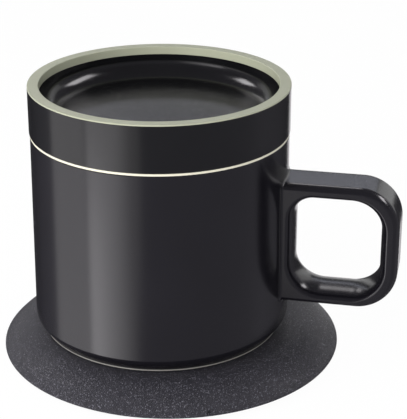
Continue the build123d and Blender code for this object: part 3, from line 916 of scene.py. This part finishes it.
class MUGWARMER_OT_handle(bpy.types.Operator):
    """Model the handle: a rounded strap bent into a closed square loop and joined to the wall"""

    bl_idname = "mugwarmer.handle"
    bl_label = "Handle"

    slab_start = 30.0 * MM
    root_sunk = 1.2 * MM
    root_margin = 0.5 * MM
    root_steps = 6

    def execute(self, context):
        sizes = context.scene.handle
        loop = self.slab(
            (self.slab_start, sizes.bottom), (sizes.reach, sizes.top), sizes.depth,
            {(1, 0): sizes.outer_round, (1, 1): sizes.outer_round},
        )
        gap_low = (sizes.opening_start, sizes.bottom + sizes.low_strap)
        gap_high = (sizes.reach - sizes.far_strap, sizes.top - sizes.strap)
        gap = self.slab(
            gap_low, gap_high, sizes.depth * 2,
            {(0, 0): sizes.opening_round, (1, 0): sizes.opening_round, (1, 1): sizes.opening_round,
             (0, 1): sizes.near_round},
        )
        cut_away(loop, gap)
        self.round_sides(loop, sizes, gap_low, gap_high)
        self.trim_root(loop, sizes, context.scene.mug)
        self.flare_root(loop, sizes)
        hand_over(loop, "strap_handle", "mug", "black_glaze", "mug_handle")
        return {"FINISHED"}

    def slab(self, low, high, depth, corners):
        """An upright slab in the plane of the handle, with some of its corners rounded."""
        deselect()
        middle = Vector(((low[0] + high[0]) / 2, 0, (low[1] + high[1]) / 2)) + MUG_AXIS
        bpy.ops.mesh.primitive_plane_add(size=1, location=middle, rotation=(math.pi / 2, 0, 0))
        slab = bpy.context.object
        slab.scale = (high[0] - low[0], high[1] - low[1], 1)
        bpy.ops.object.transform_apply(location=True, rotation=True, scale=True)
        bpy.ops.object.mode_set(mode="EDIT")
        for (right, up), rounding in corners.items():
            corner = Vector(((high if right else low)[0] + MUG_AXIS.x, (high if up else low)[1]))
            select_where(slab, "VERT", lambda vert: (vert.co.xz - corner).length < NEAR)
            bpy.ops.mesh.bevel(offset=rounding, segments=20, profile=0.5, affect="VERTICES")
        bpy.ops.mesh.select_all(action="SELECT")
        bpy.ops.transform.translate(value=(0, -depth / 2, 0))
        bpy.ops.mesh.extrude_region_move(TRANSFORM_OT_translate={"value": (0, depth, 0)})
        face_outwards()
        return slab

    def round_sides(self, loop, sizes, gap_low, gap_high):
        """Round the strap's long edges, where its flat sides meet its faces."""

        def in_gap(point):
            across = gap_low[0] - NEAR < point.x - MUG_AXIS.x < gap_high[0] + NEAR
            return across and gap_low[1] - NEAR < point.z < gap_high[1] + NEAR

        def long_edge(edge):
            sides = [abs(face.normal.y) > 0.9 for face in edge.link_faces]
            nearest = min(vert.co.x for vert in edge.verts)
            return sorted(sides) == [False, True] and nearest > MUG_AXIS.x + self.slab_start - NEAR

        bpy.ops.object.mode_set(mode="EDIT")
        for inner, across, along in (
            (False, sizes.edge_round, sizes.edge_crown), (True, sizes.gap_round, sizes.gap_crown),
        ):
            select_where(loop, "EDGE", lambda edge: long_edge(edge) and in_gap(edge.verts[0].co) == inner)
            bpy.ops.mesh.bevel(
                offset=across, segments=10, profile=0.5, affect="EDGES", clamp_overlap=False,
                offset_type="OFFSET",
            )
            self.crown(loop, sizes.depth / 2, along / across)
        bpy.ops.object.mode_set(mode="OBJECT")

    def crown(self, loop, half_depth, stretch):
        """Draw the fresh, selected roundings towards the strap's middle, so that they turn slowly."""
        bpy.ops.mesh.select_mode(type="VERT")
        fresh = {vert.index for vert in bmesh.from_edit_mesh(loop.data).verts if vert.select}
        for side in (-1, 1):
            select_where(
                loop, "VERT", lambda vert: vert.index in fresh and (vert.co.y - MUG_AXIS.y) * side > 0
            )
            bpy.ops.transform.resize(
                value=(1, stretch, 1), center_override=(0, MUG_AXIS.y + side * half_depth, 0)
            )

    def trim_root(self, loop, sizes, mug):
        """Cut the slab back to the mug's tapered wall, short of it by the root's rounding."""
        deselect()
        low, high = mug.underside, mug.rim
        bpy.ops.mesh.primitive_cone_add(
            vertices=256, radius1=mug.heel_radius + sizes.root_round,
            radius2=mug.rim_radius + sizes.root_round, depth=high - low,
            location=MUG_AXIS + Vector((0, 0, (low + high) / 2)),
        )
        cutter = bpy.context.object
        bpy.ops.object.transform_apply(location=True)
        cut_away(loop, cutter)

    def flare_root(self, loop, sizes):
        """Draw the handle's root on to the wall in a small hollow curve, and close it inside the wall."""
        limit = MUG_AXIS.x + sizes.opening_start - self.root_margin

        def root_face(face):
            return face.normal.x < -0.7 and all(vert.co.x < limit for vert in face.verts)

        bpy.ops.object.mode_set(mode="EDIT")
        select_where(loop, "FACE", root_face)
        bpy.ops.mesh.delete(type="FACE")
        select_where(loop, "EDGE", lambda edge: edge.is_boundary)
        middle = (MUG_AXIS.x, MUG_AXIS.y, (sizes.bottom + sizes.top) / 2)
        half_width, half_height = sizes.depth / 2, (sizes.top - sizes.bottom) / 2
        sunk, spread = 0.0, 0.0
        for i in range(1, self.root_steps + 1):
            turn = math.pi / 2 * i / self.root_steps
            to_sunk = sizes.root_round * math.sin(turn)
            to_spread = sizes.root_round * (1 - math.cos(turn))
            self.draw_in(
                middle, to_sunk - sunk, (half_width + spread, half_height + spread), to_spread - spread
            )
            sunk, spread = to_sunk, to_spread
        self.draw_in(middle, self.root_sunk, (half_width + spread, half_height + spread), 0.0)
        bpy.ops.mesh.edge_face_add()
        face_outwards()

    def draw_in(self, middle, distance, half, spread):
        """Extrude the open root towards the mug, and spread it from its half width and half height."""
        bpy.ops.mesh.extrude_region_move(TRANSFORM_OT_translate={"value": (-distance, 0, 0)})
        wide, tall = (half[0] + spread) / half[0], (half[1] + spread) / half[1]
        bpy.ops.transform.resize(value=(1, wide, tall), center_override=middle)


class MUGWARMER_OT_lid(bpy.types.Operator):
    """Model the dished lid, its painted ring and the pale seal under it"""

    bl_idname = "mugwarmer.lid"
    bl_label = "Lid"

    dish_wall = 1.8 * MM
    slope_radius = 33.1 * MM
    shoulder_radius = 41.6 * MM
    shoulder_height = 0.9 * MM
    fine_edge = 0.1 * MM
    lower_edge = 0.35 * MM
    ring_edge = 0.3 * MM
    seal_inner = 41.2 * MM
    seal_edge = 0.15 * MM

    def execute(self, context):
        lid = context.scene.lid
        dish_base = lid.dish_floor - self.dish_wall
        inside = lid.radius - lid.wall
        ledge = lid.top - lid.rim_thickness
        skirt = lid.dish_radius + lid.rim_skirt_wall
        skirt_base = lid.top - lid.rim_skirt
        shell = turn_piece(MUG_AXIS, [
            (0, dish_base, 0),
            (self.slope_radius, dish_base, 0),
            (self.shoulder_radius, lid.plug_top + self.shoulder_height, 0),
            (self.shoulder_radius, lid.plug_top, 0),
            (inside, lid.plug_top, 0),
            (inside, lid.base, self.fine_edge),
            (lid.radius, lid.base, self.lower_edge),
            (lid.radius, ledge, self.fine_edge),
            (skirt, ledge, 0),
            (skirt, skirt_base, 0),
            (lid.dish_radius, skirt_base, self.fine_edge),
            (lid.dish_radius, lid.dish_floor, lid.dish_round),
            (0, lid.dish_floor, 0),
        ])
        hand_over(shell, "dished_lid", "lid", "lid_black", "lid_shell")
        ring = turn_piece(MUG_AXIS, [
            (lid.dish_radius, skirt_base, self.fine_edge),
            (skirt, skirt_base, 0),
            (skirt, ledge, 0),
            (lid.radius, ledge, self.fine_edge),
            (lid.radius, lid.top, self.ring_edge),
            (lid.dish_radius, lid.top, self.ring_edge),
        ])
        hand_over(ring, "painted_ring", "lid", "rim_olive", "lid_rim_ring")
        seal_low, seal_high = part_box("lid_seal")
        seal_radius = (seal_high.x - seal_low.x) / 2
        seal = turn_piece(MUG_AXIS, [
            (self.seal_inner, seal_low.z, 0),
            (seal_radius, seal_low.z, self.seal_edge),
            (seal_radius, seal_high.z, self.seal_edge),
            (self.seal_inner, seal_high.z, 0),
        ])
        hand_over(seal, "pale_seal", "lid", "cream_silicone", "lid_seal")
        return {"FINISHED"}


class MUGWARMER_OT_plug(bpy.types.Operator):
    """Model the plug under the lid and the lip ring in its groove"""

    bl_idname = "mugwarmer.plug"
    bl_label = "Plug"

    wall = 1.8 * MM
    lower_edge = 1.0 * MM
    groove_depth = 0.9 * MM
    groove_edge = 0.15 * MM
    flange_clearance = 0.1 * MM
    flange_edge = 0.1 * MM
    gasket_edge = 0.6 * MM

    def execute(self, context):
        lid = context.scene.lid
        groove = lid.plug_radius - self.groove_depth
        groove_top = lid.gasket_base + lid.gasket_height
        flange = lid.radius - lid.wall - self.flange_clearance
        inside = groove - self.wall
        plug = turn_piece(MUG_AXIS, [
            (0, lid.plug_base, 0),
            (lid.plug_radius, lid.plug_base, self.lower_edge),
            (lid.plug_radius, lid.gasket_base, self.groove_edge),
            (groove, lid.gasket_base, 0),
            (groove, groove_top, 0),
            (lid.plug_radius, groove_top, self.groove_edge),
            (lid.plug_radius, lid.base, 0),
            (flange, lid.base, self.flange_edge),
            (flange, lid.plug_top, 0),
            (inside, lid.plug_top, 0),
            (inside, lid.plug_base + self.wall, 0),
            (0, lid.plug_base + self.wall, 0),
        ])
        hand_over(plug, "mouth_plug", "lid", "lid_black", "lid_plug")
        gasket = turn_piece(MUG_AXIS, [
            (groove, lid.gasket_base, 0),
            (lid.gasket_radius, lid.gasket_base, self.gasket_edge),
            (lid.gasket_radius, groove_top, self.gasket_edge),
            (groove, groove_top, 0),
        ])
        hand_over(gasket, "lip_ring", "lid", "clear_silicone", "plug_gasket")
        return {"FINISHED"}


class MUGWARMER_OT_inner_parts(bpy.types.Operator):
    """Finish the CAD pieces that stay: the light, the inlet, the coils, boards and heater"""

    bl_idname = "mugwarmer.inner_parts"
    bl_label = "Inner parts"

    def execute(self, context):
        slots = {part["node"]: part["material_slot"] for part in frame["record"]["subparts"]}
        for name, node in frame["nodes"].items():
            if name not in MODELLED:
                node.data.materials.clear()
                node.data.materials.append(finish_for(slots[name]))
        return {"FINISHED"}


class StudioSettings(bpy.types.PropertyGroup):
    camera_distance: length("Camera distance", 470.0, "From the mug's axis, along the floor")
    camera_height: length("Camera height", 250.0, "Above the floor")
    camera_azimuth: angle("Camera azimuth", math.radians(13.6), "Round the mug from its front")
    camera_heading: angle("Camera heading", math.radians(11.77), "Where the camera points, from its front")
    camera_pitch: angle("Camera pitch", 0.4, "How far the camera looks down")
    camera_lens: FloatProperty(name="Lens", description="Focal length in mm on a 36 mm frame", default=124.0)
    floor_colour: FloatVectorProperty(
        name="Floor", description="Colour of the floor", subtype="COLOR", size=4, default=(0.9, 0.9, 0.9, 1.0)
    )
    key_glow: glow("Key glow", 4.0, "Brightness of the white card that the glaze reflects")
    rim_glow: glow("Rim glow", 1.1, "Brightness of the card behind, to the right, that edges the handle")
    screen_glow: glow("Screen glow", 0.35, "Brightness of the grey screens round the set")
    lamp_glow: glow("Lamp glow", 9.0, "Brightness of the two lamp faces beside the lid")
    back_lamp_glow: glow("Back lamp glow", 3.0, "Brightness of the two lamp faces behind the lid")
    sky_glow: glow("Sky glow", 2.6, "Brightness of the top of the pale blue card behind")
    ceiling: length("Ceiling", 790.0, "Height of the set's screens")
    room: length("Room", 1600.0, "Radius of the set's screens")


def floor_finish(colour):
    """Matt white card. What the camera sees of it is mostly plain white, so shadows stay faint."""
    plain_share = 0.97
    material, tree = start_material("white card")
    card = add(tree, "ShaderNodeBsdfDiffuse", {"Color": colour})
    white = add(tree, "ShaderNodeEmission")
    rays = add(tree, "ShaderNodeLightPath")
    share = add(
        tree, "ShaderNodeMath", {0: rays.outputs["Is Camera Ray"], 1: plain_share}, operation="MULTIPLY"
    )
    both = add(tree, "ShaderNodeMixShader", {0: share.outputs[0], 1: card.outputs[0], 2: white.outputs[0]})
    add(tree, "ShaderNodeOutputMaterial", {"Surface": both.outputs[0]})
    return material


def glow_finish(name, tint, near, far, axis="X", start=-0.5, end=0.5):
    """A lit screen or card, whose glow goes from one level to another along one of its own axes."""
    material, tree = start_material(name)
    place = add(tree, "ShaderNodeTexCoord")
    along = add(tree, "ShaderNodeSeparateXYZ", {0: place.outputs["Object"]})
    level = add(
        tree, "ShaderNodeMapRange",
        {"Value": along.outputs[axis], "From Min": start, "From Max": end, "To Min": near, "To Max": far},
    )
    light = add(tree, "ShaderNodeEmission", {"Color": colour_of(tint), "Strength": level.outputs["Result"]})
    add(tree, "ShaderNodeOutputMaterial", {"Surface": light.outputs[0]})
    material.cycles.emission_sampling = "NONE"
    return material


def make_world():
    """Soft light all round, and plain white where the camera, gloss or glass looks past the object."""
    world = bpy.data.worlds.new("studio")
    world.use_nodes = True
    tree = world.node_tree
    tree.nodes.clear()
    rays = add(tree, "ShaderNodeLightPath")
    seen = add(
        tree, "ShaderNodeMath", {0: rays.outputs["Is Camera Ray"], 1: rays.outputs["Is Glossy Ray"]},
        operation="MAXIMUM",
    )
    either = add(
        tree, "ShaderNodeMath", {0: seen.outputs[0], 1: rays.outputs["Is Transmission Ray"]},
        operation="MAXIMUM",
    )
    soft = add(tree, "ShaderNodeBackground", {"Color": (0.97, 0.98, 1.0, 1.0), "Strength": 0.62})
    white = add(tree, "ShaderNodeBackground", {"Color": (1.0, 1.0, 1.0, 1.0), "Strength": 1.0})
    both = add(tree, "ShaderNodeMixShader", {0: either.outputs[0], 1: soft.outputs[0], 2: white.outputs[0]})
    add(tree, "ShaderNodeOutputWorld", {"Surface": both.outputs[0]})
    bpy.context.scene.world = world


def round_the_mug(azimuth, distance, height):
    """A place round the mug: azimuth in degrees from the camera's side, positive to the camera's left."""
    turn = bpy.context.scene.studio.camera_azimuth - math.radians(azimuth)
    return MUG_AXIS + Vector((math.sin(turn) * distance, -math.cos(turn) * distance, height))


def softbox(name, azimuth, distance, height, power):
    """A soft lamp that lights the object but isn't mirrored in it."""
    size, aim_height = 0.5, 0.05
    place = round_the_mug(azimuth, distance, height)
    aim = MUG_AXIS + Vector((0, 0, aim_height))
    bpy.ops.object.light_add(type="AREA", location=place)
    lamp = bpy.context.object
    lamp.name = name
    lamp.data.shape = "SQUARE"
    lamp.data.size = size
    lamp.data.energy = power
    lamp.visible_glossy = False
    lamp.rotation_euler = (aim - place).to_track_quat("-Z", "Y").to_euler()


def mirrored_only(card):
    """Let a card be seen in reflections alone, so that it neither lights, shades nor hides the object."""
    for rays in ("camera", "diffuse", "transmission", "volume_scatter", "shadow"):
        setattr(card, f"visible_{rays}", False)


def standing_card(name, azimuth, distance, width, low, high, material):
    """An upright card that faces the mug."""
    deselect()
    bpy.ops.mesh.primitive_plane_add(size=1, location=round_the_mug(azimuth, distance, (low + high) / 2))
    card = bpy.context.object
    card.name = name
    card.scale = (width, high - low, 1)
    inwards = round_the_mug(azimuth, -distance, 0) - MUG_AXIS
    card.rotation_euler = inwards.to_track_quat("Z", "Y").to_euler()
    card.data.materials.append(material)
    mirrored_only(card)


def screen_drum(name, radius, low, high, capped, opening, material):
    """A round screen about the mug with its top or its bottom closed, and an opening behind the mug."""
    deselect()
    bpy.ops.mesh.primitive_cylinder_add(
        vertices=96, radius=radius, depth=high - low, location=MUG_AXIS + Vector((0, 0, (low + high) / 2)),
        rotation=(0, 0, bpy.context.scene.studio.camera_azimuth), end_fill_type="NGON",
    )
    drum = bpy.context.object
    drum.name = name

    def left_open(face):
        behind = abs(face.normal.z) < 0.5 and face.normal.y > math.cos(opening)
        return behind or face.normal.z * capped < -0.5

    bpy.ops.object.mode_set(mode="EDIT")
    select_where(drum, "FACE", left_open)
    bpy.ops.mesh.delete(type="FACE")
    bpy.ops.object.mode_set(mode="OBJECT")
    drum.data.materials.append(material)
    mirrored_only(drum)


class MUGWARMER_OT_studio(bpy.types.Operator):
    """Set up the floor, the soft lights, the cards that the glaze mirrors, and the camera"""

    bl_idname = "mugwarmer.studio"
    bl_label = "Studio"

    floor_size = 6.0
    floor_depth = -3.0

    def execute(self, context):
        studio = context.scene.studio
        bpy.ops.mesh.primitive_plane_add(size=self.floor_size, location=(0, 0, 0))
        floor = context.object
        floor.name = "floor"
        floor.data.materials.append(floor_finish(studio.floor_colour))
        floor.visible_glossy = False
        make_world()
        softbox("left softbox", azimuth=62, distance=0.75, height=0.38, power=6.0)
        softbox("front softbox", azimuth=4, distance=0.95, height=0.4, power=5.0)
        self.add_screens(studio)
        self.add_cards(studio)
        self.add_camera(context, studio)
        return {"FINISHED"}

    def add_screens(self, studio):
        """Grey screens all round, darker behind, with an opening behind the mug down to the floor."""
        grey, lit = "#f6f3ff", studio.screen_glow
        low = glow_finish("grey felt, falling off behind", grey, lit, 0.05, axis="Y", start=0.2, end=1.3)
        high = glow_finish("grey felt, dark overhead", grey, lit, 0.07, axis="Z", start=0.3, end=0.5)
        screen_drum("low screens", studio.room, self.floor_depth, 0.0, -1, 0.0, low)
        screen_drum("high screens", studio.room, 0.0, studio.ceiling, 1, math.radians(60), high)

    def add_cards(self, studio):
        """The key, in three parts, and its neighbour at the side; a card that edges the handle; and, for
        the lid's dish, lamp faces high on both sides and behind, and a pale blue card behind."""
        key, lamp, back_lamp = studio.key_glow, studio.lamp_glow, studio.back_lamp_glow
        white, blue = "#fffcff", "#eef1ff"
        ramp = glow_finish("white card, lit from one side", white, key * 0.14, key, end=0.33)
        dim_end = glow_finish("white card, at its dim end", white, key * 0.16, key * 0.28)
        even = glow_finish("white card, evenly lit", white, key * 0.53, key * 0.53)
        side = glow_finish("white card, dimly lit", white, key * 0.46, key * 0.27)
        rim = glow_finish("white card behind", white, studio.rim_glow, studio.rim_glow)
        bright = glow_finish("bright lamp face", white, lamp, lamp)
        weak = glow_finish("lamp face", white, back_lamp, back_lamp)
        sky = glow_finish(
            "pale blue card, dim towards its foot", blue, 0.05, studio.sky_glow, axis="Y", start=0.2, end=0.4
        )
        for name, azimuth, distance, width, low, high, finish in (
            ("key card", 43.5, 1.4, 1.16, -2.2, 0.5, ramp),
            ("key card, near end", 19.5, 1.4, 0.14, -0.6, 0.3, dim_end),
            ("key card, upper part", 52, 1.3, 0.62, -0.42, 0.3, even),
            ("side card", 87.5, 1.4, 0.98, -2.2, 0.3, side),
            ("rim card", -163, 1.4, 0.45, -1.4, 0.1, rim),
            ("left lamp face", 115, 0.7, 0.3, 0.5, 0.76, bright),
            ("right lamp face", -100, 0.7, 0.5, 0.5, 0.76, bright),
            ("back left lamp face", 168, 0.6, 0.16, 0.38, 0.56, weak),
            ("back right lamp face", -172, 0.6, 0.18, 0.46, 0.68, weak),
            ("back card", 180, 1.4, 1.6, 0.3, 0.69, sky),
        ):
            standing_card(name, azimuth, distance, width, low, high, finish)

    def add_camera(self, context, studio):
        """The camera, in front of the mug and a little to its left, looking down."""
        bpy.ops.object.camera_add(location=round_the_mug(0, studio.camera_distance, studio.camera_height))
        camera = context.object
        camera.rotation_euler = (math.pi / 2 - studio.camera_pitch, 0, studio.camera_heading)
        camera.data.lens = studio.camera_lens
        context.scene.camera = camera


class MUGWARMER_PT_panel(bpy.types.Panel):
    """Lists the steps that build the mug warmer, in their order"""

    bl_label = "Mug Warmer"
    bl_idname = "MUGWARMER_PT_panel"
    bl_space_type = "VIEW_3D"
    bl_region_type = "UI"
    bl_category = "Mug Warmer"

    def draw(self, context):
        for operator in OPERATORS:
            self.layout.operator(operator.bl_idname)


GROUPS = {
    "pad": PadSizes,
    "mug": MugSizes,
    "handle": HandleSizes,
    "lid": LidSizes,
    "model": ModelSettings,
    "studio": StudioSettings,
}
OPERATORS = (
    MUGWARMER_OT_pad_cover,
    MUGWARMER_OT_pad_underside,
    MUGWARMER_OT_mug_body,
    MUGWARMER_OT_mug_foot,
    MUGWARMER_OT_handle,
    MUGWARMER_OT_lid,
    MUGWARMER_OT_plug,
    MUGWARMER_OT_inner_parts,
    MUGWARMER_OT_studio,
)
CLASSES = (*GROUPS.values(), *OPERATORS, MUGWARMER_PT_panel)


def register():
    for cls in CLASSES:
        bpy.utils.register_class(cls)
    for name, group in GROUPS.items():
        setattr(bpy.types.Scene, name, PointerProperty(type=group))


def unregister():
    for name in GROUPS:
        delattr(bpy.types.Scene, name)
    for cls in reversed(CLASSES):
        bpy.utils.unregister_class(cls)


def main():
    register()
    bpy.context.scene.view_settings.view_transform = "Standard"
    bpy.ops.mugwarmer.pad_cover()
    bpy.ops.mugwarmer.pad_underside()
    bpy.ops.mugwarmer.mug_body()
    bpy.ops.mugwarmer.mug_foot()
    bpy.ops.mugwarmer.handle()
    bpy.ops.mugwarmer.lid()
    bpy.ops.mugwarmer.plug()
    bpy.ops.mugwarmer.inner_parts()
    bpy.ops.mugwarmer.studio()


if __name__ == "__main__":
    main()
